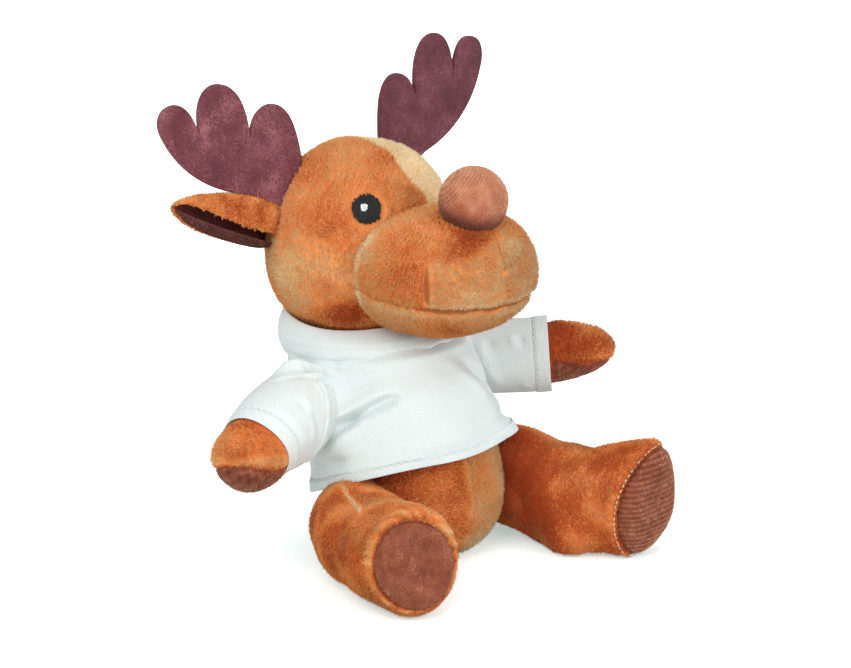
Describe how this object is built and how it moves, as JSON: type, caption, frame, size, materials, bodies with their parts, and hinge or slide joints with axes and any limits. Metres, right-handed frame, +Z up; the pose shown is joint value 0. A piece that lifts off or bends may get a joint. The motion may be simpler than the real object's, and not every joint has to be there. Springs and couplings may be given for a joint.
{
  "type": "plush deer",
  "caption": "Small seated stuffed deer in a white T-shirt, with a big snout, a ball nose and flat felt antlers.",
  "frame": {"origin": "middle of the flat underside that the deer sits on", "axes": "+Z up, -Y the way the deer faces, +X its left side"},
  "size_m": [0.1553, 0.1278, 0.158],
  "materials": {
    "plush": "short brushed polyester pile, orange-brown, lying in swirls",
    "mauve_plush": "finely ribbed short pile, mauve-brown",
    "felt": "pressed felt, dark mauve",
    "jersey": "white single jersey knit with a hem stitch",
    "black_thread": "black satin stitch",
    "white_thread": "white satin stitch",
    "stuffing": "loose polyester fibre, hidden"
  },
  "bodies": {
    "torso": {"torso_skin": "plush", "torso_stuffing": "stuffing", "shirt_front": "jersey", "shirt_back": "jersey", "neckband": "jersey"},
    "neck": {"neck_stuffing": "stuffing"},
    "head": {"head_side_l": "plush", "head_side_r": "plush", "head_gusset": "plush", "head_stuffing": "stuffing", "muzzle_side_l": "plush", "muzzle_side_r": "plush", "muzzle_chin": "plush", "nose_cover": "mauve_plush", "nose_stuffing": "stuffing", "eye_l": "black_thread", "eye_glint_l": "white_thread", "eye_r": "black_thread", "eye_glint_r": "white_thread", "antler_l": "felt", "antler_r": "felt"},
    "ear_l": {"ear_outer_l": "plush", "ear_lining_l": "mauve_plush"},
    "ear_r": {"ear_outer_r": "plush", "ear_lining_r": "mauve_plush"},
    "arm_l": {"arm_skin_l": "plush", "palm_l": "mauve_plush", "arm_stuffing_l": "stuffing", "sleeve_l": "jersey"},
    "arm_r": {"arm_skin_r": "plush", "palm_r": "mauve_plush", "arm_stuffing_r": "stuffing", "sleeve_r": "jersey"},
    "leg_l": {"leg_skin_l": "plush", "sole_l": "mauve_plush", "leg_stuffing_l": "stuffing"},
    "leg_r": {"leg_skin_r": "plush", "sole_r": "mauve_plush", "leg_stuffing_r": "stuffing"}
  },
  "joints": [
    {"name": "head_turn", "type": "hinge", "parent": "torso", "child": "neck", "pos_m": [0, 0.032, 0.1006], "axis": [0, 0, 1], "range_deg": [-35, 35], "stiffness_Nm_per_rad": 0.3},
    {"name": "head_nod", "type": "hinge", "parent": "neck", "child": "head", "pos_m": [0, 0.032, 0.1006], "axis": [1, 0, 0], "range_deg": [-15, 0], "stiffness_Nm_per_rad": 0.3},
    {"name": "ear_l_swing", "type": "hinge", "parent": "head", "child": "ear_l", "pos_m": [0.028, 0.043, 0.108], "axis": [0, 1, 0], "range_deg": [-25, 0], "stiffness_Nm_per_rad": 0.01},
    {"name": "ear_r_swing", "type": "hinge", "parent": "head", "child": "ear_r", "pos_m": [-0.028, 0.043, 0.108], "axis": [0, 1, 0], "range_deg": [-20, 2], "stiffness_Nm_per_rad": 0.01},
    {"name": "arm_l_swing", "type": "hinge", "parent": "torso", "child": "arm_l", "pos_m": [0.028, 0.025, 0.0525], "axis": [-0.6762, -0.7367, 0], "range_deg": [-15, 15], "stiffness_Nm_per_rad": 0.06},
    {"name": "arm_r_swing", "type": "hinge", "parent": "torso", "child": "arm_r", "pos_m": [-0.028, 0.025, 0.0525], "axis": [-0.345, 0.9386, 0], "range_deg": [-4, 18], "stiffness_Nm_per_rad": 0.06},
    {"name": "leg_l_swing", "type": "hinge", "parent": "torso", "child": "leg_l", "pos_m": [0.022, -0.004, 0.017], "axis": [1, 0, 0], "range_deg": [-8, 25], "stiffness_Nm_per_rad": 0.2},
    {"name": "leg_r_swing", "type": "hinge", "parent": "torso", "child": "leg_r", "pos_m": [-0.022, -0.004, 0.017], "axis": [1, 0, 0], "range_deg": [-8, 25], "stiffness_Nm_per_rad": 0.2}
  ]
}
